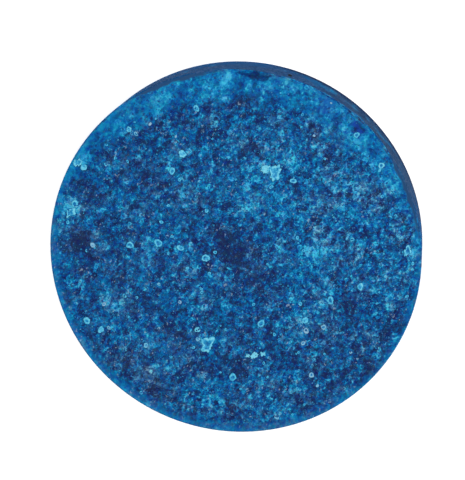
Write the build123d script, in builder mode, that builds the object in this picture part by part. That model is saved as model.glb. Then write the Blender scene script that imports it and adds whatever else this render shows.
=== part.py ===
"""Round air stone for ponds and aquariums.

A porous disc of bonded mineral grains is sealed with epoxy into a shallow moulded casing. Air comes in from
below, through a barbed elbow that a nut clamps in the casing's floor. The hose runs to it along a channel
between the ribs of the underside, so that the stone stands flat on its skirt.

Millimetres. The origin is the centre of the base, +Z points up through the porous face, and the hose leaves
towards -Y.
"""
from build123d import *
from math import radians, sqrt, tan
import os

# ---- Casing ----
casing_diameter = 101.6
wall = 1.5
draft_angle = 0.5  # degrees, the outer wall narrows towards the base
skirt_edge = 1.2  # thickness of the skirt where it stands on the ground
floor_thickness = 1.8
plenum_depth = 1.6  # air space between the floor and the stone
rim_land = 0.6  # the wall's thickness at the rim, which a bevel inside thins
rim_bevel_depth = 1.0
rim_chamfer = 0.35
skirt_chamfer = 0.3
corner_chamfer = 0.8  # inside corner between the floor and the skirt

# ---- Ribs, hub and hose channel of the underside ----
rib_count = 6
rib_thickness = 1.4
rib_clearance = 1.0  # the ribs end this far above the base
hub_clearance = 0.6  # between the hub ring and the elbow's flange
channel_clearance = 0.9  # between the elbow's body and the ribs on each side of the hose
standoff_count = 6
standoff_diameter = 4.0
standoff_circle_radius = 29.0

# ---- Stone and its seal ----
stone_thickness = 5.6
stone_proud = 0.4  # the porous face stands this far above the rim
stone_shoulder = 0.5  # width of the slope between the rim and the porous face
stone_seat = 1.2  # width of the ledge under the stone
bond_gap = 0.3  # between the stone's lip and the wall
seal_width = 1.6
seal_height = 2.6

# ---- Barbed elbow, washer and nut ----
stem_diameter = 8.0
stem_clearance = 0.1
stem_projection = 0.7  # past the nut
stem_chamfer = 0.5
flange_diameter = 13.0
flange_thickness = 1.2
washer_thickness = 1.0
elbow_ground_gap = 0.7  # below the elbow's body
elbow_headroom = 0.1  # between the elbow's body and the top of its flange
elbow_diameter = 6.2
elbow_reach = 7.5  # from the stem's axis to the nipple's shoulder
shoulder_chamfer = 0.5
shank_diameter = 4.8
shank_length = 3.5
barb_count = 3
barb_pitch = 3.6
barb_diameter = 5.6
barb_land = 0.5  # length of the plain crest of each barb
barb_root_diameter = 4.4
air_passage_diameter = 2.6
nut_across_flats = 12.0
nut_height = 2.5
nut_chamfer = 0.6
relief_clearance = 0.8  # between the end of the stem and the stone
relief_margin = 1.5  # between the nut's corners and the stone

# ---- Heights that follow, from the base up ----
nipple_height = elbow_ground_gap + elbow_diameter / 2
flange_top = elbow_ground_gap + elbow_diameter + elbow_headroom
floor_height = flange_top + washer_thickness
floor_top = floor_height + floor_thickness
ledge_height = floor_top + plenum_depth
stone_top = ledge_height + stone_thickness
rim_height = stone_top - stone_proud
bevel_height = rim_height - rim_bevel_depth
stem_top = floor_top + nut_height + stem_projection

# ---- Widths that follow ----
casing_radius = casing_diameter / 2
base_radius = casing_radius - rim_height * tan(radians(draft_angle))
pocket_radius = casing_radius - wall
skirt_mouth_radius = base_radius - skirt_edge
rim_inner_radius = casing_radius - rim_land
stone_lip_radius = pocket_radius - bond_gap
stone_face_radius = rim_inner_radius - bond_gap
stone_seat_radius = pocket_radius - seal_width
ledge_inner_radius = stone_seat_radius - stone_seat
hub_inner_radius = flange_diameter / 2 + hub_clearance
channel_width = elbow_diameter + 2 * channel_clearance
relief_radius = nut_across_flats / sqrt(3) + relief_margin
first_barb = elbow_reach + shank_length
nipple_end = first_barb + barb_count * barb_pitch
clearance_hole_radius = stem_diameter / 2 + stem_clearance
nipple_axis = Axis((0, 0, nipple_height), (0, -1, 0))

os.makedirs("parts", exist_ok=True)


# The casing: an H-shaped section turned round the axis, with a skirt below the floor and a wall above it.
with BuildPart() as casing:
    with BuildSketch(Plane.XZ) as section:
        with BuildLine():
            Polyline(
                (0, floor_height),
                (pocket_radius, floor_height),
                (skirt_mouth_radius, 0),
                (base_radius, 0),
                (casing_radius, rim_height),
                (rim_inner_radius, rim_height),
                (pocket_radius, bevel_height),
                (pocket_radius, ledge_height),
                (ledge_inner_radius, ledge_height),
                (ledge_inner_radius, floor_top),
                (0, floor_top),
                close=True,
            )
        make_face()
        corners = section.vertices()
        skirt_corner = corners.filter_by_position(Axis.Y, floor_height, floor_height).sort_by(Axis.X)[-1]
        chamfer(corners.group_by(Axis.Y)[-1].sort_by(Axis.X)[-1], rim_chamfer)
        chamfer(corners.group_by(Axis.Y)[0], skirt_chamfer)
        chamfer(skirt_corner, corner_chamfer)
    revolve(axis=Axis.Z)

    # Radial ribs, a hub ring round the elbow, and two parallel ribs that lead the hose out to the skirt.
    with BuildSketch(Plane.XY.offset(rib_clearance)) as rib_plan:
        with PolarLocations(0, rib_count, start_angle=-90):
            Rectangle(casing_radius, rib_thickness, align=(Align.MIN, Align.CENTER))
        Circle(hub_inner_radius + rib_thickness)
        Rectangle(channel_width + 2 * rib_thickness, casing_radius, align=(Align.CENTER, Align.MAX))
        Circle(hub_inner_radius, mode=Mode.SUBTRACT)
        Rectangle(channel_width, casing_radius, align=(Align.CENTER, Align.MAX), mode=Mode.SUBTRACT)
        Circle((pocket_radius + base_radius) / 2, mode=Mode.INTERSECT)
    extrude(amount=floor_height + floor_thickness / 2 - rib_clearance)

    # The arched slot where the hose leaves through the skirt.
    with BuildSketch(Plane.XZ.offset(ledge_inner_radius)):
        with Locations((0, nipple_height)):
            Circle(channel_width / 2)
        Rectangle(channel_width, nipple_height, align=(Align.CENTER, Align.MIN))
    extrude(amount=casing_radius - ledge_inner_radius, mode=Mode.SUBTRACT)

    # Standoffs that carry the middle of the stone over the air space.
    with BuildSketch(Plane.XY.offset(floor_top)):
        with PolarLocations(standoff_circle_radius, standoff_count):
            Circle(standoff_diameter / 2)
    extrude(amount=plenum_depth)

    with Locations((0, 0, floor_top)):
        Hole(clearance_hole_radius)
casing.part.label = "casing"
export_step(casing.part, "parts/casing.step")


# The porous disc: its lip follows the wall and the rim's bevel, and the narrower seat leaves room for epoxy.
with BuildPart() as diffuser_stone:
    with BuildSketch(Plane.XZ):
        with BuildLine():
            Polyline(
                (0, ledge_height),
                (stone_seat_radius, ledge_height),
                (stone_seat_radius, ledge_height + seal_height),
                (stone_lip_radius, ledge_height + seal_height),
                (stone_lip_radius, bevel_height),
                (stone_face_radius, rim_height),
                (stone_face_radius - stone_shoulder, stone_top),
                (0, stone_top),
                close=True,
            )
        make_face()
    revolve(axis=Axis.Z)

    # A round relief under the centre clears the nut and the end of the stem.
    with BuildSketch(Plane.XY.offset(ledge_height)):
        Circle(relief_radius)
    extrude(amount=stem_top + relief_clearance - ledge_height, mode=Mode.SUBTRACT)
diffuser_stone.part.label = "diffuser_stone"
export_step(diffuser_stone.part, "parts/diffuser_stone.step")


# The epoxy: a ring under the stone's lip, with the thin film that rises between the lip and the wall.
with BuildPart() as seal_bead:
    with BuildSketch(Plane.XZ):
        with BuildLine():
            Polyline(
                (stone_seat_radius, ledge_height),
                (pocket_radius, ledge_height),
                (pocket_radius, bevel_height),
                (stone_lip_radius, bevel_height),
                (stone_lip_radius, ledge_height + seal_height),
                (stone_seat_radius, ledge_height + seal_height),
                close=True,
            )
        make_face()
    revolve(axis=Axis.Z)
seal_bead.part.label = "seal_bead"
export_step(seal_bead.part, "parts/seal_bead.step")


# The elbow: a stem and flange on a mitred body, with a sawtooth nipple for the hose. Two straight air
# passages meet inside it, one down the stem and one along the nipple.
with BuildPart() as inlet_elbow:
    with BuildLine(Plane.YZ):
        centre_line = Polyline((0, stem_top), (0, nipple_height), (-elbow_reach, nipple_height))
    with BuildSketch(Plane.XY.offset(stem_top)):
        Circle(elbow_diameter / 2)
    sweep(path=centre_line, transition=Transition.RIGHT)
    chamfer(inlet_elbow.faces().sort_by(Axis.Y)[0].edges(), shoulder_chamfer)
    split(bisect_by=Plane.XY.offset(flange_top), keep=Keep.BOTTOM)
    with BuildSketch(Plane.XY.offset(flange_top)):
        Circle(flange_diameter / 2)
    extrude(amount=-flange_thickness)
    with BuildSketch(Plane.XY.offset(flange_top)):
        Circle(stem_diameter / 2)
    extrude(amount=stem_top - flange_top)
    chamfer(inlet_elbow.edges().group_by(Axis.Z)[-1].sort_by(SortBy.LENGTH)[-1], stem_chamfer)

    with BuildSketch(Plane.YZ):
        with BuildLine():
            barb_outline = [
                (-elbow_reach, nipple_height + shank_diameter / 2),
                (-first_barb, nipple_height + shank_diameter / 2),
            ]
            for barb in range(barb_count):
                start = first_barb + barb * barb_pitch
                barb_outline += [
                    (-start, nipple_height + barb_diameter / 2),
                    (-start - barb_land, nipple_height + barb_diameter / 2),
                    (-start - barb_pitch, nipple_height + barb_root_diameter / 2),
                ]
            Polyline(
                (-elbow_reach, nipple_height),
                *barb_outline,
                (-nipple_end, nipple_height),
                close=True,
            )
        make_face()
    revolve(axis=nipple_axis)

    with BuildSketch(Plane.XY.offset(stem_top)):
        Circle(air_passage_diameter / 2)
    extrude(amount=nipple_height - stem_top, mode=Mode.SUBTRACT)
    with BuildSketch(Plane.XZ.offset(nipple_end)):
        with Locations((0, nipple_height)):
            Circle(air_passage_diameter / 2)
    extrude(amount=-nipple_end, mode=Mode.SUBTRACT)
inlet_elbow.part.label = "inlet_elbow"
export_step(inlet_elbow.part, "parts/inlet_elbow.step")


with BuildPart() as inlet_washer:
    with BuildSketch(Plane.XY.offset(flange_top)):
        Circle(flange_diameter / 2)
        Circle(clearance_hole_radius, mode=Mode.SUBTRACT)
    extrude(amount=washer_thickness)
inlet_washer.part.label = "inlet_washer"
export_step(inlet_washer.part, "parts/inlet_washer.step")


# The nut: its upper corners are turned off by a cone.
with BuildPart() as lock_nut:
    with BuildSketch(Plane.XY.offset(floor_top)):
        RegularPolygon(nut_across_flats / 2, 6, major_radius=False)
        Circle(clearance_hole_radius, mode=Mode.SUBTRACT)
    extrude(amount=nut_height)
    with BuildSketch(Plane.XZ):
        with BuildLine():
            Polyline(
                (0, floor_top),
                (nut_across_flats, floor_top),
                (nut_across_flats, floor_top + nut_height - nut_chamfer),
                (nut_across_flats / 2, floor_top + nut_height),
                (0, floor_top + nut_height),
                close=True,
            )
        make_face()
    revolve(axis=Axis.Z, mode=Mode.INTERSECT)
lock_nut.part.label = "lock_nut"
export_step(lock_nut.part, "parts/lock_nut.step")
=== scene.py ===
from math import atan2, cos, exp, hypot, pi, radians, sin, sqrt
from random import Random

import bmesh
import bpy
from bpy.props import FloatProperty, FloatVectorProperty, IntProperty, PointerProperty
from mathutils import Matrix, Vector, noise


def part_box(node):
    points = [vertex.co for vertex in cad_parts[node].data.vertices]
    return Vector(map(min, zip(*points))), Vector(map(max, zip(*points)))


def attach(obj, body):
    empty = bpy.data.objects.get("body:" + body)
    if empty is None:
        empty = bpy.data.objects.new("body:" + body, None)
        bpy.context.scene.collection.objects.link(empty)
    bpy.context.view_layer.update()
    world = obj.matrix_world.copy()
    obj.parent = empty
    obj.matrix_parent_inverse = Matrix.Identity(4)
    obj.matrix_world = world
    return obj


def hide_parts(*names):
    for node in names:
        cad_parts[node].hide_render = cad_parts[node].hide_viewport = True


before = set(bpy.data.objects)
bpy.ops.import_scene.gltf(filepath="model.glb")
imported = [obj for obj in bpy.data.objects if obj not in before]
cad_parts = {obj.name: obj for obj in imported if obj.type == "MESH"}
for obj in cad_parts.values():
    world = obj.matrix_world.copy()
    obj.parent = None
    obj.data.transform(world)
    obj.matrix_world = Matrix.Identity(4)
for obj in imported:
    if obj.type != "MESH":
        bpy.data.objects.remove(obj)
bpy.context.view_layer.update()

bl_info = {
    "name": "Air stone",
    "version": (1, 0, 0),
    "blender": (4, 5, 0),
    "location": "3D View > Sidebar > Air stone",
    "description": "Dresses a disc air stone: porous face, casing, hose fitting and studio",
    "category": "Object",
}

MM = 0.001

# Corners of the boxes of the CAD pieces that the porous disc fits to.
STONE_LOW, STONE_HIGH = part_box("diffuser_stone")
CASING_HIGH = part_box("casing")[1]
BEAD_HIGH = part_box("seal_bead")[1]
NUT_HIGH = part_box("lock_nut")[1]
ELBOW_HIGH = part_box("inlet_elbow")[1]

# What is read from them most, in millimetres.
STONE_TOP = STONE_HIGH.z / MM
RIM_TOP = CASING_HIGH.z / MM
CASING_RADIUS = CASING_HIGH.x / MM

# From the disc's highest grain to the top of the stone, for what stands on the face, in millimetres.
HEADROOM = 0.2
# From the casing's outer corner in to the edge of the face, and how thick the face's lip is there.
EDGE_INSET = 0.35
LIP = 0.13
# Depth of the disc's step over the ledge, and the room that is left round the nut and over the elbow.
STEP_DEPTH = 1.6
NUT_ROOM = 1.5
ELBOW_ROOM = 0.8
# How far out bubbles and standing grains lie.
BUBBLE_REACH = 48.5
GRAIN_REACH = 49.8

# Headings round the disc, in degrees. The far side is where the wall shows most.
FAR_SIDE = 62
BRUSHED_SIDE = 85
# The last heading is where the painted highlight along the face's outer edge is strongest.
RIM_HIGHLIGHT_SIDE = 222


def dye(red, green, blue):
    """A colour given as the eye sees it, 0 to 255, in the linear values that shaders use."""
    shares = (red / 255, green / 255, blue / 255)
    return tuple(v / 12.92 if v < 0.04 else ((v + 0.055) / 1.055) ** 2.4 for v in shares)


class StoneSizes(bpy.types.PropertyGroup):
    """Sizes of the porous face and of what lies on it."""

    grain: FloatProperty(
        name="Grain", description="Width of one bonded mineral grain", default=0.72 * MM, unit="LENGTH"
    )
    grain_relief: FloatProperty(
        name="Grain relief", description="Height of grains over the resin", default=0.16 * MM, unit="LENGTH"
    )
    pit_depth: FloatProperty(
        name="Pit depth", description="Depth of holes left by lost grains", default=0.45 * MM, unit="LENGTH"
    )
    margin: FloatProperty(
        name="Resin margin", description="Widest smooth margin at the rim", default=2.4 * MM, unit="LENGTH"
    )
    cells: IntProperty(
        name="Mesh cells", description="Cells across the porous face", default=296, subtype="UNSIGNED"
    )
    loose_grains: IntProperty(
        name="Standing grains", description="Grains tried on the face", default=9200, subtype="UNSIGNED"
    )
    bubbles: IntProperty(
        name="Bubbles", description="Small bubbles scattered over the face", default=80, subtype="UNSIGNED"
    )
    level: FloatProperty(
        name="Level", description="Height of the face, set with the porous disc", default=0.0, unit="LENGTH"
    )


class StoneColours(bpy.types.PropertyGroup):
    """Colours of the dyed grains, the resin and the mouldings."""

    void: FloatVectorProperty(
        name="Void", description="Shade between grains", default=dye(18, 38, 84), subtype="COLOR"
    )
    deep: FloatVectorProperty(
        name="Deep blue", description="Dark grains", default=dye(9, 60, 117), subtype="COLOR"
    )
    blue: FloatVectorProperty(
        name="Blue", description="Most of the grains", default=dye(5, 88, 148), subtype="COLOR"
    )
    cerulean: FloatVectorProperty(
        name="Cerulean", description="Light grains", default=dye(14, 118, 170), subtype="COLOR"
    )
    pale: FloatVectorProperty(
        name="Pale cyan", description="Glazed crests", default=dye(56, 166, 204), subtype="COLOR"
    )
    # A whitish painted highlight laid over the pale crests of bubbles and nodules.
    glaze: FloatVectorProperty(
        name="Glaze", description="Bubble crests", default=dye(128, 200, 212), subtype="COLOR"
    )
    bare: FloatVectorProperty(
        name="Bare grain", description="Undyed grains", default=dye(138, 164, 186), subtype="COLOR"
    )
    slate: FloatVectorProperty(
        name="Slate", description="Casing, greyer", default=dye(36, 68, 106), subtype="COLOR"
    )
    navy: FloatVectorProperty(
        name="Navy", description="Casing, bluer", default=dye(16, 68, 116), subtype="COLOR"
    )
    stain: FloatVectorProperty(
        name="Stain", description="Dye on the casing", default=dye(12, 70, 122), subtype="COLOR"
    )
    haze: FloatVectorProperty(
        name="Haze", description="Scuffs on the casing", default=dye(72, 92, 134), subtype="COLOR"
    )
    ash: FloatVectorProperty(
        name="Ash", description="Casing, greyest", default=dye(46, 68, 88), subtype="COLOR"
    )
    royal: FloatVectorProperty(
        name="Royal blue", description="Dye laid on at the edge", default=dye(20, 60, 144), subtype="COLOR"
    )
    # Dark blue for grime and marks on the wall, also laid along the wall's foot as painted shade.
    foot: FloatVectorProperty(
        name="Foot", description="Grime round the foot", default=dye(14, 40, 78), subtype="COLOR"
    )
    fitting: FloatVectorProperty(
        name="Fitting", description="Elbow and nut", default=dye(38, 40, 44), subtype="COLOR"
    )


class Signal:
    """An output in a node tree that can be used in sums like a number."""

    def __init__(self, nodes, socket):
        self.nodes, self.socket = nodes, socket

    def math(self, operation, *terms):
        return self.nodes.node("Math", {"operation": operation}, dict(enumerate(terms)))

    def __add__(self, other):
        return self.math("ADD", self, other)

    def __sub__(self, other):
        return self.math("SUBTRACT", self, other)

    def __mul__(self, other):
        return self.math("MULTIPLY", self, other)

    def __rsub__(self, other):
        return self.math("SUBTRACT", other, self)

    __radd__, __rmul__ = __add__, __mul__

    def __abs__(self):
        return self.math("ABSOLUTE", self)

    def at_least(self, other):
        return self.math("MAXIMUM", self, other)

    def between(self, low, high):
        """0 below low, 1 above high, and a smooth rise from one to the other."""
        return self.nodes.node("MapRange", {"interpolation_type": "SMOOTHSTEP"}, {0: self, 1: low, 2: high})


class Nodes:
    """A node tree, built node by node."""

    def __init__(self, tree):
        self.tree = tree

    def plug(self, slot, value):
        """Links a signal to a socket, or sets the socket's own value."""
        if isinstance(value, Signal):
            self.tree.links.new(value.socket, slot)
        elif slot.type == "RGBA":
            slot.default_value = (*value, 1)
        else:
            slot.default_value = value

    def node(self, kind, settings, inputs, output=0):
        """Adds a node: its settings first, then the values or links of its sockets."""
        node = self.tree.nodes.new("ShaderNode" + kind)
        for name, value in settings.items():
            if name == "stops":
                ramp = node.color_ramp
                while len(ramp.elements) < len(value):
                    ramp.elements.new(1)
                for element, (position, colour) in zip(ramp.elements, value):
                    element.position, element.color = position, (*colour, 1)
            else:
                setattr(node, name, value)
        for name, value in inputs.items():
            self.plug(node.inputs[name], value)
        return Signal(self, node.outputs[output])


class Finish(Nodes):
    """A material with one shader and its patterns."""

    def __init__(self, name):
        self.material = bpy.data.materials.new(name)
        self.material.use_nodes = True
        super().__init__(self.material.node_tree)
        self.shader = self.tree.nodes["Principled BSDF"]

    def millimetres(self):
        """A place on the piece, in the frame that all the pieces share."""
        place = self.node("TexCoord", {}, {}, "Object")
        return self.node("VectorMath", {"operation": "SCALE"}, {"Vector": place, "Scale": 1 / MM})

    def grit(self, place, size, detail=2.0, rough=0.5):
        """Noise with features of the given size in millimetres."""
        inputs = {"Vector": place, "Scale": 1 / size, "Detail": detail, "Roughness": rough}
        return self.node("TexNoise", {}, inputs)

    def cells(self, place, size, feature="F1"):
        """Distance to the middle, or to the edge, of cells of the given size in millimetres."""
        return self.node("TexVoronoi", {"feature": feature}, {"Vector": place, "Scale": 1 / size})

    def shades(self, place, size):
        """A lightness of its own, 0 to 1, for each of the same cells."""
        return self.node("TexVoronoi", {}, {"Vector": place, "Scale": 1 / size}, "Color")

    def shift(self, place, amount, size):
        """Bends a pattern's coordinates, so that it doesn't look ruled."""
        drift = self.node("TexNoise", {}, {"Vector": place, "Scale": 1 / size, "Detail": 1.0}, "Color")
        centred = self.node("VectorMath", {"operation": "SUBTRACT"}, {0: drift, 1: (0.5, 0.5, 0.5)})
        scaled = self.node("VectorMath", {"operation": "SCALE"}, {"Vector": centred, "Scale": amount})
        return self.node("VectorMath", {"operation": "ADD"}, {0: place, 1: scaled})

    def drawn_out(self, place, heading, times):
        """Coordinates that draw a pattern out along a heading in degrees."""
        inputs = {"Vector": place, "Rotation": (0, 0, radians(heading)), "Scale": (times, 1, 1)}
        return self.node("Mapping", {"vector_type": "TEXTURE"}, inputs)

    def squeezed(self, place, times, lean=(0, 0, 0)):
        """Coordinates that press a pattern flat so many times, or stretch it up where times is below 1."""
        return self.node("Mapping", {}, {"Vector": place, "Scale": (1, 1, times), "Rotation": lean})

    def apart(self, place, centre):
        """Distance from a place, in millimetres."""
        return self.node("VectorMath", {"operation": "DISTANCE"}, {0: place, 1: centre}, "Value")

    def toward(self, place, heading):
        """1 on the side of the disc that faces a heading in degrees, and -1 on the far side."""
        way = (cos(radians(heading)) / CASING_RADIUS, sin(radians(heading)) / CASING_RADIUS, 0)
        return self.node("VectorMath", {"operation": "DOT_PRODUCT"}, {0: place, 1: way}, "Value")

    def attribute(self, name):
        """A mark that the mesh carries."""
        return self.node("Attribute", {"attribute_name": name}, {}, "Fac")

    def mix(self, amount, first, second):
        """The first colour where the amount is 0, and the second where it is 1."""
        return self.node("Mix", {"data_type": "RGBA"}, {0: amount, 6: first, 7: second}, 2)

    def bump(self, height, distance, strength):
        """Fine relief, with its height in metres where the pattern is 1."""
        bump = self.node("Bump", {}, {"Height": height, "Distance": distance, "Strength": strength})
        self.plug(self.shader.inputs["Normal"], bump)

    def set(self, **values):
        """Sets or links the shader's sockets, named with _ for each space."""
        for name, value in values.items():
            self.plug(self.shader.inputs[name.replace("_", " ")], value)


# Tone of the face, as large soft patches: (across, up, radius, lightness), in millimetres.
PATCHES = (
    (0, 1, 5, -1.6), (6, -6, 3, -1.1), (7, 9, 3, -0.4), (-4, 17, 3, -0.5), (-4, 9, 3, -0.4),
    (-24, 22, 4, -0.9), (-23, 33, 3, -0.5), (-14, 40, 4, -0.7), (-8, 33, 3, -0.5), (4, 42, 4, -0.8),
    (6, 30, 3, -0.4), (-30, 28, 4, -0.4), (-37, 31, 3, -0.5), (-39, 18, 3, -0.9), (-42, 4, 4, -1.1),
    (-40, -4, 4, -0.6), (-41, -15, 3, -0.5), (-30, -8, 4, -0.4), (-14, -2, 4, -0.3), (-26, -13, 3, -0.3),
    (-16, -22, 3, -0.8), (-32, -31, 4, -0.8), (-22, -39, 4, -1.0), (-12, -32, 4, -0.5), (1, -32, 5, -0.7),
    (2, -22, 4, -0.4), (14, -30, 4, -0.4), (22, -26, 4, -0.4), (31, -14, 4, -1.0), (38, -31, 5, -1.1),
    (29, -34, 4, -0.6), (45, -21, 4, -0.8), (22, -43, 4, -0.5), (-15, -44, 3, -0.5), (-3, -47, 3, -0.4),
    (-0.6, 48.8, 1, 1.6), (-1.8, 46.8, 1.3, 1.2), (-18, 44, 3, 0.3), (-29, 36, 3, 0.3), (9, 46, 3, 0.4),
    (-6, 45, 3, 0.6), (-17, 41, 3, 0.3), (1, 36, 2, -0.4), (32, 4, 2, -0.4), (-41, 26, 2, 0.6),
    (-45, 13, 3, 1.3), (11, 25, 4, 0.9), (18, 25, 3, 0.5), (5, 15, 4, 0.9), (12, 12, 5, 0.4),
    (22, 21, 5, 0.45), (-17, 24, 3, 0.4), (23, 3, 4, 0.6), (29, 13, 5, 0.7), (48, 2, 3, 0.6),
    (43, -2, 3, 0.4), (25, -4, 5, 0.7), (36, -9, 3, 0.4), (18, -18, 3, 0.9), (21, -23, 4, -0.5),
    (6, -23, 4, -0.8), (-9, -5, 3, -0.4), (-14, 30, 3, -0.4), (-8, -24, 3, 0.7), (-8, -12, 4, 0.4),
    (-22, 4, 3, 0.7), (-33, -14, 4, 0.6), (-36, -21, 3, 0.7), (-24, -25, 3, 0.7), (-20, -33, 3, 0.6),
    (-5, -41, 4, 0.7), (11, -42, 3, 0.2), (-47, 7, 3, 0.6), (-34, 15, 4, 0.3), (16, -35, 4, 0.4),
    (4, -36, 3, 0.5), (34, 32, 4, 0.3), (25, 42, 5, 0.1), (16, 47, 3, 0.3), (-8, 44, 4, -0.3),
    (37, -25, 3, 0.4), (42, -12, 4, 0.4), (44, 22, 4, 0.4), (33.4, 35.4, 0.9, -1.4),
    (34.7, 34.6, 0.9, -1.4), (-47, -11, 3, -0.5), (-29, 12, 3, -0.4), (-10, -40, 3, 0.5), (-5, -7, 3, -0.4),
    (17, -5, 3, 0.5), (-12, 11, 3, 0.5), (36, 9, 3, 0.5), (37, 23, 3, 0.4), (12, -40, 2, 0.3),
    (0, 19, 3, 0.3), (23, 31, 2, -0.5), (25, 21, 2, -0.4), (-9, -19, 3, -0.4), (32, -30, 2, -0.4),
)

# Where the dye is thin and grey, or strong where the last number is below zero, in the same way.
THIN_DYE = (
    (0, -1, 8, 0.5), (-41, 6, 5, 0.8), (-42, -7, 5, 0.6), (-38, -18, 5, 0.5), (-31, -30, 6, 0.6),
    (-22, -19, 4, 0.6), (-13, -28, 4, 0.8), (5, -31, 5, 0.7), (2, -44, 7, 0.8), (-24, -36, 5, 0.6),
    (23, 7, 3, 0.8), (31, 18, 5, 0.7), (26, 30, 5, 0.5), (22, 34, 3, 0.7), (37, -8, 4, 0.6),
    (38, -24, 5, 0.5), (25, -20, 4, 0.5), (20, -40, 5, 0.5), (13, 15, 3, -0.8), (16, 7, 4, -0.8),
    (20, -4, 4, -0.6), (18, -15, 4, -0.6), (-7, 27, 5, -0.8), (-23, 7, 4, -0.6), (-43, 24, 3, -0.7),
    (-48, 11, 3, -0.8), (19, 25, 3, -0.5), (-30, 8, 4, -0.4), (-30, 36, 3, -0.5),
)

# Where the dye was laid on in royal blue: (across, up, radius, strength), in millimetres.
PAINTED = ((32.2, 35.9, 1.9, 0.85), (34.0, 34.1, 1.9, 0.85), (25.6, 41.4, 4.2, 0.5))

# Bubbles that stand out: (across, up, half width, paleness of the hollow, how bare of dye), in millimetres.
BUBBLES = (
    (-40.4, 24.0, 0.9, 0.8, 0), (-43.3, 13.8, 1.05, 0.2, 0), (-13.3, 28.0, 1.1, 0.5, 0),
    (-16.2, 23.3, 0.9, 0.2, 0), (-27.7, 34.5, 0.8, 0.6, 0), (-9.3, 40.3, 0.9, 0.3, 0),
    (-20.6, 3.2, 1.1, 0.3, 0), (-28.4, 2.5, 1.1, 0.3, 0), (-14.5, 1.9, 1.0, 0.3, 0),
    (-7.6, -0.8, 1.1, 0.4, 0), (16.4, 20.9, 0.9, 0.3, 0), (39.9, 25.3, 0.8, 0.2, 0),
    (26.3, -12.1, 1.15, 0.2, 0), (7.3, -19.0, 1.1, 0.2, 0), (34.4, -8.0, 1.0, 0.4, 0),
    (19.4, -17.9, 1.0, 0.6, 0), (-10.3, -21.3, 0.8, 1.0, 0), (-0.7, -34.6, 1.1, 0.2, 0),
    (-41.2, -19.3, 1.0, 0.4, 0), (-37.3, -21.8, 1.0, 0.6, 0), (19.6, -20.8, 0.8, 0.5, 0.9),
    (24.4, -19.6, 0.8, 0.3, 0.7), (18.9, -24.4, 0.6, 0.2, 0.7), (21.1, -33.5, 0.7, 0.2, 0.7),
    (31.9, -26.7, 0.4, 0.6, 0.7), (22.7, -36.5, 0.4, 0.5, 0.5), (11.4, -46.1, 0.6, 0.4, 0.5),
    (-38.7, 2.3, 0.7, 0.6, 0.7), (-20.7, -8.4, 0.5, 0.6, 0.5), (-36.2, -14.4, 0.6, 0.3, 0.9),
    (-15.0, -13.4, 0.5, 0.3, 1.0), (-35.1, -21.3, 0.6, 0.5, 0.6), (-21.0, -21.0, 0.4, 0.6, 0.9),
    (-24.8, -26.0, 0.7, 0.4, 0.4), (-10.2, -23.9, 0.6, 0.5, 0.5), (-21.9, 36.0, 0.4, 0.8, 1.0),
    (-15.0, 32.8, 0.4, 0.7, 0.8), (-25.8, 33.3, 0.7, 0.2, 0.5), (22.0, 33.1, 0.4, 0.6, 0.8),
    (26.5, 42.0, 0.3, 1.0, 0.9), (33.3, 33.4, 0.8, 0.2, 0),
)

# The nodules, larger and less round: (across, up, length, width, turned by, paleness of the hollow).
NODULES = (
    (11.6, 23.3, 4.4, 3.0, 80, 0.45), (9.2, 24.1, 2.4, 2.0, 20, 0.8), (-7.6, -25.5, 4.8, 3.6, 80, 0.3),
    (47.0, 2.2, 3.6, 2.2, 80, 0.1), (-42.0, 25.4, 2.8, 2.2, 30, 0.4), (-44.8, 11.3, 3.2, 2.4, 80, 0.3),
    (3.6, -28.3, 1.3, 1.2, 0, 0.9), (5.3, -28.4, 2.2, 1.6, 60, 0.9), (7.7, -27.8, 1.4, 1.3, 30, 0.7),
)

# Headings, in degrees, where the casing's edge is bare of grains.
BARE_HEADINGS = (20, 108)

# Spots of dye on the casing's wall: (heading in degrees, height and radius in millimetres).
WALL_SPOTS = ((105, 9, 1.2), (97, 6, 1.5), (59, 5, 1.6), (50, 8, 1.4), (45, 7, 1.3))


def rise(value, low, high):
    """0 below low, 1 above high, and a smooth rise from one to the other."""
    share = min(1.0, max(0.0, (value - low) / (high - low)))
    return share * share * (3 - 2 * share)


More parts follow.
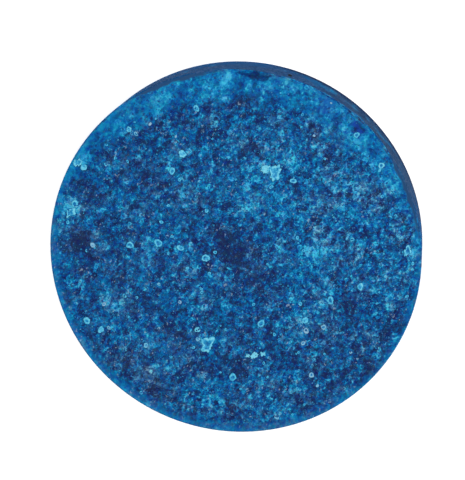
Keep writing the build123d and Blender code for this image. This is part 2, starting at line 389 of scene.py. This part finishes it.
class Survey:
    """Height and marks of the porous face at any place on it, in millimetres."""

    def __init__(self, sizes):
        self.grain = sizes.grain / MM
        self.relief = sizes.grain_relief / MM
        self.pit_depth = sizes.pit_depth / MM
        self.margin = sizes.margin / MM
        self.radius = CASING_RADIUS
        self.level = 0.0

    def patch(self, x, y, patches):
        """Sum of large soft patches, about -1 to 1."""
        total = 0.0
        for px, py, radius, tone in patches:
            apart = ((x - px) ** 2 + (y - py) ** 2) / (radius * radius)
            if apart < 6:
                total += tone * exp(-apart)
        return total

    def edge(self, x, y, inward):
        """How far the smooth resin margin has taken over: 0 on open grains and 1 at the rim."""
        width = self.margin * (0.55 - 0.45 * cos(atan2(y, x) - radians(FAR_SIDE)))
        wave = 0.9 * noise.noise(Vector((x, y, 5)) / 2.2) + 0.6 * noise.noise(Vector((x, y, 9)) / 0.9)
        return min(1.0, max(0.0, 1.5 - (inward + wave) / max(width, 0.3)))

    def smear(self, x, y, inward):
        """How far resin was brushed over the grains on the far side: 0 on open grains and 1 at the rim."""
        reach = 8.0 * rise(cos(atan2(y, x) - radians(BRUSHED_SIDE)), 0.1, 0.8)
        wave = 3.0 * noise.noise(Vector((x, y, 3)) / 4.0) + 1.2 * noise.noise(Vector((x, y, 6)) / 1.5)
        return rise(reach - inward - wave, -1.5, 2.5) if reach else 0.0

    def bared(self, x, y, inward):
        """Where the casing shows past the ragged border of the grains."""
        ahead = [rise(cos(atan2(y, x) - radians(heading)), 0.96, 0.995) for heading in BARE_HEADINGS]
        ragged = 0.5 * noise.noise(Vector((x, y, 8)) / 1.8)
        return rise(0.9 * max(ahead) + ragged - inward, -0.2, 0.2)

    def chip(self, x, y):
        """How deep a place lies in the broken edge at the far side: 0 outside it and 1 at its bottom."""
        left, bend, right, far = 0.9, 9.2, 12.6, 49.5
        if y < far - 7.5 or not left - 3 < x < right + 3:
            return 0.0
        ragged = 0.5 * noise.noise(Vector((x, y, 2)) / 1.6) + 0.3 * noise.noise(Vector((x, y, 7)) / 0.6)
        lower = far - 0.3 * (x - left - 0.3) + 1.3 * max(0.0, x - bend) + ragged
        side = min(x - left, right - x) + ragged
        return max(0.0, min(1.0, (y - lower) / 0.5)) * max(0.0, min(1.0, side / 0.8))

    def read(self, x, y):
        """Height at a place, and the marks that its finish needs."""
        place = Vector((x, y, 0))
        inward = self.radius - 0.3 - hypot(x, y)
        edge = self.edge(x, y, inward) if inward < 6 else 0.0
        smear = self.smear(x, y, inward) if inward < 14 else 0.0
        chip = self.chip(x, y)
        bared = self.bared(x, y, inward) * (1 - chip) if inward < 3 else 0.0
        near, centres = noise.voronoi(place / self.grain)
        grains = self.relief * (1 - min(1.0, near[0] * 1.1) ** 2 + 0.8 * noise.cell(centres[0] * 7.3))
        waves = 0.10 * noise.noise(place / 5.5) + 0.07 * noise.noise(place / 1.9 + Vector((0, 0, 4)))
        far, holes = noise.voronoi(place / 2.3 + Vector((3, 8, 1)))
        pit = max(0.0, 1 - (far[0] / 0.36) ** 2) if noise.cell(holes[0] * 5.1) > 0.25 else 0.0
        pit *= 1 - edge
        height = (grains - self.pit_depth * pit) * (1 - 0.85 * edge) * (1 - 0.5 * smear)
        height += waves * (1 - 0.5 * edge)
        fall = max(0.0, 1 - inward / 1.2) ** 2
        height -= 0.2 * edge + chip * (0.5 + 0.4 * fall)
        # Painted highlight: the line mark lightens the last millimetre or so of the face, most on one side,
        # where light catches the rim.
        highlight_side = rise(cos(atan2(y, x) - radians(RIM_HIGHLIGHT_SIDE)), 0.85, 1.0)
        line = rise(inward, 0.9, 0.4) * (0.3 + 0.7 * highlight_side)
        marks = {
            "pit": pit, "edge": edge, "smear": smear, "bared": bared, "chip": chip, "line": line,
            "patch": self.patch(x, y, PATCHES), "thin": self.patch(x, y, THIN_DYE),
        }
        return height + self.level, marks


def new_piece(name, bm, material, slot, *stands_for):
    """Puts a finished mesh in the scene as a piece of the object."""
    bmesh.ops.recalc_face_normals(bm, faces=bm.faces)
    mesh = bpy.data.meshes.new(name)
    bm.to_mesh(mesh)
    bm.free()
    mesh.materials.append(material)
    piece = bpy.data.objects.new(name, mesh)
    bpy.context.scene.collection.objects.link(piece)
    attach(piece, "root")
    if stands_for:
        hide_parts(*stands_for)
    return piece


def grain_colours(finish, place, tone, grey):
    """The dyed grains' colour for a lightness that is 0.5 on average, greyed where the dye is thin."""
    dyes = bpy.context.scene.stone_colours
    stops = (
        (0.10, dyes.void), (0.30, dyes.deep), (0.50, dyes.blue), (0.67, dyes.cerulean), (0.92, dyes.pale),
    )
    dyed = finish.node("ValToRGB", {"stops": stops}, {"Fac": tone})
    turn = 0.497 + 0.14 * (finish.grit(place, 1.2, detail=3.0, rough=0.8) - 0.5)
    dyed = finish.node("HueSaturation", {}, {"Hue": turn, "Color": dyed})
    dull = finish.node("RGBToBW", {}, {"Color": dyed})
    return finish.mix(grey, dyed, dull)


def rings(finish, place, size, share):
    """Pale circles round some of the cells of a pattern: 1 on a circle and 0 elsewhere."""
    apart = finish.cells(place, size)
    kept = finish.shades(place, size).between(1 - share - 0.02, 1 - share)
    return apart.between(0.2, 0.3) * apart.between(0.46, 0.36) * kept


def threads(finish, place, size):
    """Thin winding lines of resin between grains: 1 on a line and 0 elsewhere."""
    level = finish.grit(place, size, detail=1.0) - 0.5
    return abs(level).between(0.05, 0.01)


def grain_pattern(finish, place):
    """Bonded grains of several sizes: their lightness, 0 on average, and what stands out of it."""
    bent = finish.shift(finish.shift(place, 1.0, 1.6), 0.3, 0.5)
    along = finish.drawn_out(bent, 60, 2.0)
    broad = finish.grit(place, 7.0, detail=1.0)
    blotch = finish.grit(bent, 2.2, detail=2.0, rough=0.7)
    fine = finish.grit(bent, 0.6, detail=1.0, rough=0.6)
    lumps = finish.shades(bent, 1.9)
    slabs = finish.shades(along, 1.2)
    grains = finish.shades(bent, 0.75)
    foam = finish.cells(bent, 1.05, "DISTANCE_TO_EDGE").between(0.12, 0.02)
    foam *= finish.grit(place, 1.7).between(0.42, 0.58)
    speck = finish.cells(place, 0.62).between(0.3, 0.2)
    speck *= finish.shades(place, 0.62).between(0.65, 0.75)
    circles = rings(finish, bent, 1.6, 0.35) + rings(finish, bent, 2.7, 0.25)
    tone = (
        0.2 * (broad - 0.5) + 0.6 * (blotch - 0.5) + 0.2 * (fine - 0.5)
        + 0.48 * (lumps - 0.5) + 0.44 * (slabs - 0.5) + 0.4 * (grains - 0.5)
        + 0.14 * foam + 0.06 * speck + 0.22 * circles
        + 0.13 * threads(finish, bent, 1.0) + 0.14 * threads(finish, place, 2.2) - 0.07
    )
    return tone, (fine, blotch, speck)


def greyness(finish, place):
    """How thin the dye is: a little everywhere, more on some grains and in some clouds."""
    own = finish.shades(place, 0.5)
    some = finish.grit(finish.shift(place, 0.8, 1.1), 2.0, detail=3.0, rough=0.8)
    clouds = finish.grit(place, 7.0, detail=2.0)
    return 0.01 + 0.3 * (own - 0.5) + 1.25 * (some - 0.5) + 0.7 * (clouds - 0.5)


def stone_finish():
    """Dyed mineral grains in resin: mottled, with glazed crests and dark voids."""
    dyes = bpy.context.scene.stone_colours
    finish = Finish("dyed_grit")
    place = finish.millimetres()
    pattern, (fine, blotch, speck) = grain_pattern(finish, place)
    edge, smear, chip = (finish.attribute(name) for name in ("edge", "smear", "chip"))
    open_grain = 1 - 0.6 * edge
    calm = (1 - 0.45 * smear) * open_grain * (1.0 + 0.12 * finish.toward(place, 15))
    # The line term is a painted highlight along the face's outer edge.
    tone = (
        0.372 + pattern * calm + 0.26 * finish.attribute("patch") * open_grain
        + 0.14 * smear + 0.09 * edge + 0.1 * finish.attribute("line")
        - 0.2 * finish.attribute("pit") - 0.38 * chip
    )
    grey = (greyness(finish, place) + 0.15 * finish.attribute("thin")) * (1 - 0.7 * smear)
    drawn = finish.drawn_out(finish.shift(place, 1.6, 0.9), 60, 1.5)
    scuff = finish.cells(drawn, 0.7).between(0.44, 0.22) * (1 - smear)
    scuff *= finish.shades(drawn, 0.7).between(0.68, 0.76)
    scuff *= finish.grit(place, 4.0, detail=3.0).between(0.45, 0.6)
    colour = grain_colours(finish, place, tone, grey)
    colour = finish.mix(0.55 * scuff, colour, dyes.bare)
    loose = finish.shift(place, 3.5, 2.5)
    for x, y, radius, strength in PAINTED:
        apart = finish.apart(loose, (x, y, STONE_TOP))
        colour = finish.mix(strength * apart.between(radius, 0.4 * radius), colour, dyes.royal)
    colour = finish.mix(finish.attribute("bared"), colour, dyes.slate)
    finish.set(Base_Color=colour, Roughness=0.62 - 0.15 * edge, Specular_IOR_Level=0.03)
    finish.bump(fine * 0.5 + blotch * 0.5 + 0.3 * speck, 0.1 * MM, 0.4)
    return finish.material


class OBJECT_OT_porous_disc(bpy.types.Operator):
    """Make the porous disc: a grid drawn out to a round face, with its lip and seat extruded below it"""

    bl_idname = "object.air_stone_porous_disc"
    bl_label = "Porous disc"

    def execute(self, context):
        sizes = context.scene.stone_sizes
        face = Survey(sizes)
        outer = face.radius - EDGE_INSET
        bm = bmesh.new()
        bmesh.ops.create_grid(bm, x_segments=sizes.cells, y_segments=sizes.cells, size=1)
        self.raise_grains(bm, face, outer)
        sizes.level = face.level * MM
        self.close_below(bm, outer)
        bmesh.ops.scale(bm, vec=(MM, MM, MM), verts=bm.verts)
        for polygon in bm.faces:
            polygon.smooth = True
        new_piece("porous_disc", bm, stone_finish(), "bonded_stone", "diffuser_stone")
        return {"FINISHED"}

    def raise_grains(self, bm, face, outer):
        """Draws the square grid out to a disc, raises its grains, and brings its edge to the rim."""
        layers = {name: bm.verts.layers.float.new(name) for name in face.read(0, 0)[1]}
        for vert in bm.verts:
            across, up, _ = vert.co
            x = across * sqrt(1 - up * up / 2) * outer
            y = up * sqrt(1 - across * across / 2) * outer
            height, marks = face.read(x, y)
            vert.co = (x, y, height)
            for name, value in marks.items():
                vert[layers[name]] = value
        face.level = STONE_TOP - HEADROOM - max(vert.co.z for vert in bm.verts)
        for vert in bm.verts:
            share = rise(hypot(vert.co.x, vert.co.y), outer - 1.2, outer)
            vert.co.z = (1 - share) * (vert.co.z + face.level) + share * (RIM_TOP - 0.1 + LIP)

    def close_below(self, bm, outer):
        """Extrudes the face's edge down round its lip, its seat and the hollow for the nut, and fills it."""
        seat, foot = BEAD_HIGH.z / MM, STONE_LOW.z / MM
        side = BEAD_HIGH.x / MM - 0.3
        step = BEAD_HIGH.x / MM - STEP_DEPTH
        hollow, roof = NUT_HIGH.x / MM + NUT_ROOM, ELBOW_HIGH.z / MM + ELBOW_ROOM
        loop = [edge for edge in bm.edges if edge.is_boundary]
        for edge in loop:
            edge.smooth = False
        for radius, z in (
            (outer, RIM_TOP - 0.1), (outer - 0.85, RIM_TOP - 0.3), (side, seat), (side, seat - STEP_DEPTH),
            (step, seat - STEP_DEPTH), (step, foot), (hollow, foot), (hollow, roof),
        ):
            grown = bmesh.ops.extrude_edge_only(bm, edges=loop)["geom"]
            loop = [item for item in grown if isinstance(item, bmesh.types.BMEdge)]
            for vert in (item for item in grown if isinstance(item, bmesh.types.BMVert)):
                direction = Vector((vert.co.x, vert.co.y)).normalized()
                vert.co = (direction.x * radius, direction.y * radius, z)
        bmesh.ops.contextual_create(bm, geom=loop)


def bubble_finish():
    """Glazed bubbles: a pale crest round a blue hollow, with a whitish painted highlight on the crest."""
    dyes = bpy.context.scene.stone_colours
    finish = Finish("glazed_bubble")
    place = finish.millimetres()
    crest = finish.attribute("crest")
    mottle = finish.grit(place, 0.8, detail=2.0, rough=0.7)
    share = crest.at_least(1.4 * finish.attribute("core")) + 2.2 * (mottle - 0.5)
    colour = finish.mix(share.between(0.0, 0.45), dyes.blue, dyes.cerulean)
    colour = finish.mix(share.between(0.35, 1.1), colour, dyes.pale)
    # Painted highlight: the whitish glaze colour laid on the top of each crest.
    colour = finish.mix(finish.attribute("glow") * share.between(0.6, 1.3), colour, dyes.glaze)
    colour = finish.mix(0.8 * finish.attribute("bare") * share.between(0.3, 1.0), colour, dyes.bare)
    finish.set(Base_Color=colour, Roughness=0.4, Specular_IOR_Level=0.15)
    finish.bump(mottle, 0.05 * MM, 0.6)
    return finish.material


def settled_face(context):
    """The survey of the face as the porous disc was made from it."""
    face = Survey(context.scene.stone_sizes)
    face.level = context.scene.stone_sizes.level / MM
    return face


def any_place(random, radius):
    """A place chosen evenly over a disc."""
    reach, angle = radius * sqrt(random.random()), random.uniform(0, 2 * pi)
    return reach * cos(angle), reach * sin(angle)


def turned(random, tilt):
    """A turn to any side, after a tilt of at most the given angle."""
    turn = Matrix.Rotation(random.uniform(0, 2 * pi), 4, "Z")
    return turn @ Matrix.Rotation(random.uniform(-tilt, tilt), 4, "X")


def strew(joined, template, spots):
    """Adds copies of a small mesh to another, one for each matrix, with the marks that are given for it."""
    mesh = bpy.data.meshes.new("template")
    template.to_mesh(mesh)
    template.free()
    for matrix, marks in spots:
        mesh.transform(matrix)
        for name, value in marks.items():
            mesh.attributes[name].data.foreach_set("value", [value] * len(mesh.vertices))
        joined.from_mesh(mesh)
        mesh.transform(matrix.inverted())
    bpy.data.meshes.remove(mesh)


def roughen(bm, amount, size):
    """Moves each vertex a little, keeps it under the stone's top, and turns millimetres into metres."""
    noise.seed_set(3)
    for vert in bm.verts:
        vert.co += amount * noise.noise_vector(vert.co / size)
        vert.co.z = min(vert.co.z, STONE_TOP)
    bmesh.ops.scale(bm, vec=(MM, MM, MM), verts=bm.verts)


def blister(steps, hollow, ragged=0.0, seed=0.0):
    """A burst bubble of unit half width: its rim's profile spun round, then its outline drawn in and out."""
    bm = bmesh.new()
    crest = bm.verts.layers.float.new("crest")
    for name in ("core", "glow", "bare"):
        bm.verts.layers.float.new(name)
    verts = []
    crown = 0.36 + 0.64 * hollow
    for radius, z, share in (
        (0, 0, 0), (hollow, 0, 0.2), (crown, 0.18, 1), (0.86, 0.2, 1), (1, -0.05, 0.6), (0.8, -0.5, 0.5),
        (0, -0.5, 0.5),
    ):
        verts.append(bm.verts.new((radius, 0, z)))
        verts[-1][crest] = share
    edges = [bm.edges.new(pair) for pair in zip(verts, verts[1:])]
    bmesh.ops.spin(
        bm, geom=verts + edges, axis=(0, 0, 1), cent=(0, 0, 0), angle=2 * pi, steps=steps, use_merge=True
    )
    bmesh.ops.remove_doubles(bm, verts=bm.verts, dist=1e-4)
    for vert in bm.verts:
        way = Vector((vert.co.x, vert.co.y, 0)).normalized()
        reach = 0.8 * noise.noise(1.1 * way + Vector((0, 0, seed)))
        reach += noise.noise(2.6 * way + Vector((0, 0, seed + 5)))
        vert.co.x *= 1 + ragged * reach
        vert.co.y *= 1 + ragged * reach
    return bm


class OBJECT_OT_bubbles(bpy.types.Operator):
    """Make the burst bubbles: a small rim profile spun into a cup, scattered over the face"""

    bl_idname = "object.air_stone_bubbles"
    bl_label = "Bubbles"

    def execute(self, context):
        random = Random(11)
        face = settled_face(context)
        places = list(BUBBLES)
        while len(places) < len(BUBBLES) + context.scene.stone_sizes.bubbles:
            place = any_place(random, BUBBLE_REACH)
            places.append((*place, random.uniform(0.27, 0.55), 0.5 * random.random(), 0))
        spots = []
        for x, y, half, core, bare in places:
            # How much painted highlight each bubble's crest gets: more on larger bubbles, none on bare ones.
            glow = min(0.6, half - 0.2) * random.uniform(0.4, 1.0) * (1 - bare)
            size = Matrix.Diagonal((1.13 * half, half * random.uniform(0.85, 1.13), 0.7 * half, 1))
            z = min(face.read(x, y)[0] + 0.15, STONE_TOP - 0.2 * half)
            place = Matrix.Translation((x, y, z)) @ turned(random, 0.2)
            spots.append((place @ size, {"core": core, "glow": glow, "bare": bare}))
        rims = bmesh.new()
        strew(rims, blister(13, 0.34, 0.3, 7.0), spots)
        roughen(rims, 0.2, 0.9)
        for polygon in rims.faces:
            polygon.smooth = True
        new_piece("bubble_rims", rims, bubble_finish(), "bonded_stone")
        return {"FINISHED"}


class OBJECT_OT_nodules(bpy.types.Operator):
    """Make the nodules: large burst bubbles, each with a ragged outline of its own"""

    bl_idname = "object.air_stone_nodules"
    bl_label = "Nodules"

    def execute(self, context):
        face = settled_face(context)
        nodules = bmesh.new()
        for seed, (x, y, length, width, turn, hollow) in enumerate(NODULES):
            z = min(face.read(x, y)[0] + 0.25, STONE_TOP - 0.25)
            place = Matrix.Translation((x, y, z)) @ Matrix.Rotation(radians(turn), 4, "Z")
            size = Matrix.Diagonal((length / 2, width / 2, 0.9, 1))
            looks = {"core": hollow, "glow": 0.6, "bare": 0}
            strew(nodules, blister(28, 0.4, 0.6, 2.3 * seed), [(place @ size, looks)])
        roughen(nodules, 0.2, 0.9)
        for polygon in nodules.faces:
            polygon.smooth = True
        new_piece("nodules", nodules, bubble_finish(), "bonded_stone")
        return {"FINISHED"}


def grain_finish():
    """Single standing grains, each with a lightness of its own."""
    finish = Finish("standing_grit")
    place = finish.millimetres()
    mottle = finish.grit(place, 0.5, detail=2.0, rough=0.7)
    tone = finish.attribute("tone") + 0.5 * (mottle - 0.5)
    colour = grain_colours(finish, place, tone, finish.attribute("bare"))
    finish.set(Base_Color=colour, Roughness=0.5, Specular_IOR_Level=0.2)
    finish.bump(mottle, 0.05 * MM, 0.5)
    return finish.material


class OBJECT_OT_standing_grains(bpy.types.Operator):
    """Make the grains that stand proud of the face, from small crystals sunk to half their height"""

    bl_idname = "object.air_stone_grains"
    bl_label = "Standing grains"

    def execute(self, context):
        random = Random(5)
        face = settled_face(context)
        crystal = bmesh.new()
        for name in ("tone", "bare"):
            crystal.verts.layers.float.new(name)
        bmesh.ops.create_icosphere(crystal, subdivisions=1, radius=1)
        spots = []
        for _ in range(context.scene.stone_sizes.loose_grains):
            x, y = any_place(random, GRAIN_REACH)
            height, marks = face.read(x, y)
            half = random.uniform(0.16, 0.34)
            covered = max(marks["edge"], 0.6 * marks["smear"], marks["bared"])
            if random.random() < covered or marks["chip"] > 0.1:
                continue
            shape = Matrix.Diagonal((half, half * random.uniform(0.6, 1), half * random.uniform(0.6, 1), 1))
            place = Matrix.Translation((x, y, min(height + 0.1 * half, STONE_TOP - half)))
            looks = {
                "tone": 0.34 + 0.2 * marks["patch"] + 0.42 * random.random() ** 3,
                "bare": random.uniform(0.2, 0.5) if random.random() < 0.02 else random.uniform(0, 0.15),
            }
            spots.append((place @ turned(random, pi) @ shape, looks))
        grains = bmesh.new()
        strew(grains, crystal, spots)
        roughen(grains, 0.1, 0.4)
        new_piece("standing_grains", grains, grain_finish(), "bonded_stone")
        return {"FINISHED"}


class CasingFinish(Finish):
    """Smooth slate-blue moulding, scratched, stained with dye and overrun by grains at its rim."""

    def __init__(self):
        super().__init__("slate_moulding")
        self.dyes = bpy.context.scene.stone_colours
        self.place = self.millimetres()
        self.height = self.node("SeparateXYZ", {}, {"Vector": self.place}, "Z")
        flat = self.node("VectorMath", {"operation": "MULTIPLY"}, {0: self.place, 1: (1, 1, 0)})
        reach = self.node("VectorMath", {"operation": "LENGTH"}, {0: flat}, "Value")
        self.outside = reach.between(0.985 * CASING_RADIUS, 0.995 * CASING_RADIUS)
        self.shown = self.toward(self.place, FAR_SIDE)
        self.patchy = self.grit(self.shift(self.place, 3.0, 6.0), 5.0, detail=3.0, rough=0.6)
        self.speckle = self.grit(self.place, 0.8, detail=2.0)
        scratches = self.squeezed(self.place, 14, lean=(0.03, 0.05, 0))
        self.scratch = self.grit(scratches, 5.0, detail=2.0, rough=0.7).between(0.62, 0.7)
        runs = self.squeezed(self.shift(self.place, 2.0, 3.0), 0.5)
        self.runs = self.grit(runs, 2.2, detail=3.0, rough=0.7)

    def on_wall(self, amount, colour, layer):
        """Lays a colour on the outer wall only."""
        return self.mix(amount * self.outside, colour, layer)

    def spot(self, heading, height, radius, ragged=1.2):
        """1 inside a small spot on the wall, twice as tall as it is wide, with its edge broken up."""
        way = radians(heading)
        centre = (CASING_RADIUS * cos(way), CASING_RADIUS * sin(way), height / 2)
        broken = self.grit(self.place, 0.8, detail=3.0, rough=0.7) - 0.5
        apart = self.apart(self.squeezed(self.place, 0.5), centre) + ragged * broken
        return apart.between(radius, radius - ragged / 3)

    def moulded(self):
        """Clouded slate, with scratches, runs and fine marks on the wall."""
        dyes, runs = self.dyes, self.runs
        cloud = self.grit(self.squeezed(self.place, 4), 8.0, detail=3.0, rough=0.6)
        marks = self.squeezed(self.shift(self.place, 1.5, 2.0), 0.3)
        marks = self.grit(marks, 0.55, detail=2.0, rough=0.6)
        wall = self.mix(cloud.between(0.35, 0.65), dyes.navy, dyes.slate)
        wall = self.on_wall(0.15 * self.scratch, wall, dyes.bare)
        wall = self.on_wall(0.35 * runs.between(0.53, 0.65), wall, dyes.foot)
        wall = self.on_wall(0.35 * runs.between(0.46, 0.36), wall, dyes.haze)
        wall = self.on_wall(0.6 * marks.between(0.54, 0.64), wall, dyes.foot)
        return self.on_wall(0.4 * marks.between(0.44, 0.34), wall, dyes.haze)

    def stained(self, wall):
        """Dye that ran down the wall: stains, glaze, and spots on the far side."""
        dyes, shown, patchy, runs = self.dyes, self.shown, self.patchy, self.runs
        stain = patchy - 0.012 * self.height + 0.2 * shown.between(0.62, 0.4) * shown.between(0.0, 0.3)
        stain = stain + 0.04 * self.toward(self.place, 52).between(0.93, 0.98)
        wall = self.on_wall(stain.between(0.50, 0.62), wall, dyes.stain)
        glaze = self.grit(self.place, 2.2, detail=3.0, rough=0.7) - 0.02 * self.height
        wall = self.on_wall(0.7 * glaze.between(0.5, 0.58), wall, dyes.cerulean)
        flank = self.toward(self.place, 66).between(0.7, 0.45) * shown.between(0.1, 0.3) * self.outside
        wall = self.mix(flank * runs.between(0.6, 0.4), wall, dyes.blue)
        wall = self.mix(flank * runs.between(0.44, 0.36), wall, dyes.cerulean)
        for heading, middle, radius in WALL_SPOTS:
            wall = self.mix(0.75 * self.spot(heading, middle, radius, ragged=4.5), wall, dyes.cerulean)
        wall = self.on_wall(0.3 * self.toward(self.place, 38).between(0.90, 0.97), wall, dyes.ash)
        ahead = self.toward(self.place, 47).between(0.90, 0.99) * self.outside
        wall = self.mix(0.35 * patchy.between(0.52, 0.62) * ahead, wall, dyes.cerulean)
        wall = self.mix(0.35 * patchy.between(0.48, 0.38) * ahead, wall, dyes.foot)
        low = (self.height + 3.0 * (patchy - 0.5)).between(10.0, 6.0)
        return self.on_wall(0.55 * (self.toward(self.place, 92).between(0.95, 0.99) * low), wall, dyes.stain)

    def overrun(self, wall):
        """Grains that spill over the rim and down the wall, but for where the edge is bare."""
        spill = 1.8 * self.toward(self.place, 55).between(0.93, 0.99) + self.shown.between(0.3, -0.1)
        for heading in BARE_HEADINGS:
            spill = spill - 1.2 * self.toward(self.place, heading).between(0.96, 0.995)
        pattern, _ = grain_pattern(self, self.place)
        rim = self.height.between(15.4, 16.0) * self.shown.between(0.3, 0.0)
        tone = 0.42 + 0.14 * rim + pattern * (0.8 - 0.5 * rim)
        grains = grain_colours(self, self.place, tone, greyness(self, self.place))
        border = self.height + spill + 2.0 * (self.patchy - 0.5)
        return self.mix(border.between(16.0, 16.3), wall, grains)

    def soiled_and_foot_shaded(self, colour):
        """Grime round the side that it stands on, a band of painted shade along its very foot, and two
        single flaws.
        """
        dyes, height = self.dyes, self.height
        near_foot = self.toward(self.place, 30)
        low = (height + 1.6 * (self.speckle - 0.5)).between(4.6, 3.0)
        colour = self.mix(0.5 * low * near_foot.between(0.8, 0.6), colour, dyes.stain)
        colour = self.mix(0.6 * low * near_foot.between(0.6, 0.8), colour, dyes.foot)
        # Painted shade: the lowest couple of millimetres of the wall darkened where it meets the floor, on
        # one side.
        colour = self.mix(0.9 * height.between(3.4, 1.8) * near_foot.between(0.6, 0.8), colour, dyes.foot)
        colour = self.mix(self.spot(72.5, 11, 0.9), colour, dye(14, 20, 28))
        return self.mix(0.8 * self.spot(-8, 15, 0.65), colour, dye(134, 112, 104))

    def finished(self):
        """The whole material."""
        colour = self.soiled_and_foot_shaded(self.overrun(self.stained(self.moulded())))
        self.set(Base_Color=colour, Roughness=0.6 + 0.15 * self.speckle, Specular_IOR_Level=0.005)
        self.bump(self.speckle + 0.5 * self.scratch * self.outside, 0.02 * MM, 0.5)
        return self.material


def plain_finish(name, colour, rough, grain):
    """A moulded finish with fine mould grain and slight clouding."""
    finish = Finish(name)
    place = finish.millimetres()
    cloud = finish.grit(place, 4.0, detail=2.0)
    speckle = finish.grit(place, grain, detail=1.0)
    darker, lighter = (tuple(times * v for v in colour) for times in (0.8, 1.2))
    shade = finish.mix(cloud.between(0.3, 0.7), darker, lighter)
    finish.set(Base_Color=shade, Roughness=rough + 0.12 * (speckle - 0.5))
    finish.bump(speckle, 0.02 * MM, 0.4)
    return finish.material


class OBJECT_OT_mouldings(bpy.types.Operator):
    """Give the casing, the fitting, the washer and the epoxy their finishes"""

    bl_idname = "object.air_stone_mouldings"
    bl_label = "Mouldings"

    def execute(self, context):
        dyes = context.scene.stone_colours
        fitting = plain_finish("fitting_moulding", dyes.fitting, 0.42, 0.3)
        finishes = {
            "casing": CasingFinish().finished(),
            "inlet_elbow": fitting,
            "lock_nut": fitting,
            "inlet_washer": plain_finish("black_rubber", dye(26, 26, 28), 0.75, 0.25),
            "seal_bead": plain_finish("cured_epoxy", dye(26, 80, 134), 0.3, 1.0),
        }
        for name, material in finishes.items():
            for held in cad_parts[name].material_slots:
                held.material = material
        return {"FINISHED"}


class OBJECT_OT_studio(bpy.types.Operator):
    """Set out the pale floor, the soft lights and the camera"""

    bl_idname = "object.air_stone_studio"
    bl_label = "Studio"

    def execute(self, context):
        scene = context.scene
        bm = bmesh.new()
        bmesh.ops.create_grid(bm, x_segments=1, y_segments=1, size=1.5)
        mesh = bpy.data.meshes.new("floor")
        bm.to_mesh(mesh)
        bm.free()
        paper = Finish("white_paper")
        paper.set(Base_Color=(0.9, 0.9, 0.9), Roughness=0.9, Specular_IOR_Level=0.0)
        paper.set(Emission_Color=(1.0, 1.0, 1.0), Emission_Strength=0.35)
        mesh.materials.append(paper.material)
        floor = bpy.data.objects.new("floor", mesh)
        scene.collection.objects.link(floor)

        world = bpy.data.worlds.new("studio")
        world.use_nodes = True
        sky = Nodes(world.node_tree)
        backdrop = sky.tree.nodes["Background"].inputs
        sky.plug(backdrop["Color"], (1, 1, 1))
        sky.plug(backdrop["Strength"], 0.45 + 0.55 * sky.node("LightPath", {}, {}, "Is Camera Ray"))
        scene.world = world
        for name, place, size, power in (
            ("overhead", (0.15, 0.3, 0.95), 1.1, 10.0),
            ("fill", (0.9, -0.3, 0.7), 0.8, 3.0),
        ):
            lamp = bpy.data.lights.new(name, "AREA")
            lamp.size, lamp.energy = size, power
            light = bpy.data.objects.new(name, lamp)
            light.location = place
            light.rotation_mode = "QUATERNION"
            light.rotation_quaternion = Vector(place).to_track_quat("Z", "Y")
            scene.collection.objects.link(light)

        aim = Vector((-0.12 * MM, 4.47 * MM, STONE_HIGH.z))
        tilt, heading, distance = radians(15.81), radians(62.3), 0.452
        away = Vector((sin(tilt) * cos(heading), sin(tilt) * sin(heading), cos(tilt)))
        lens = bpy.data.cameras.new("camera")
        lens.lens = 125.4
        lens.clip_start = 0.01
        camera = bpy.data.objects.new("camera", lens)
        camera.rotation_mode = "QUATERNION"
        camera.rotation_quaternion = Vector((0, 0, 1)).rotation_difference(away)
        camera.location = aim + distance * away
        scene.collection.objects.link(camera)
        scene.camera = camera
        scene.view_settings.view_transform = "Standard"
        return {"FINISHED"}


class VIEW3D_PT_air_stone(bpy.types.Panel):
    """Lists the air stone's sizes, colours and steps"""

    bl_label = "Air stone"
    bl_idname = "VIEW3D_PT_air_stone"
    bl_space_type = "VIEW_3D"
    bl_region_type = "UI"
    bl_category = "Air stone"

    def draw(self, context):
        layout = self.layout
        for group in (context.scene.stone_sizes, context.scene.stone_colours):
            box = layout.box()
            for name in group.__annotations__:
                box.prop(group, name)
        for step in STEPS:
            layout.operator(step.bl_idname)


GROUPS = (StoneSizes, StoneColours)
STEPS = (
    OBJECT_OT_studio,
    OBJECT_OT_porous_disc,
    OBJECT_OT_bubbles,
    OBJECT_OT_nodules,
    OBJECT_OT_standing_grains,
    OBJECT_OT_mouldings,
)
PANELS = (VIEW3D_PT_air_stone,)


def register():
    for item in GROUPS + STEPS + PANELS:
        bpy.utils.register_class(item)
    bpy.types.Scene.stone_sizes = PointerProperty(type=StoneSizes)
    bpy.types.Scene.stone_colours = PointerProperty(type=StoneColours)


def unregister():
    del bpy.types.Scene.stone_colours
    del bpy.types.Scene.stone_sizes
    for item in reversed(GROUPS + STEPS + PANELS):
        bpy.utils.unregister_class(item)


def main():
    register()
    bpy.ops.object.air_stone_studio()
    bpy.ops.object.air_stone_porous_disc()
    bpy.ops.object.air_stone_bubbles()
    bpy.ops.object.air_stone_nodules()
    bpy.ops.object.air_stone_grains()
    bpy.ops.object.air_stone_mouldings()


if __name__ == "__main__":
    main()
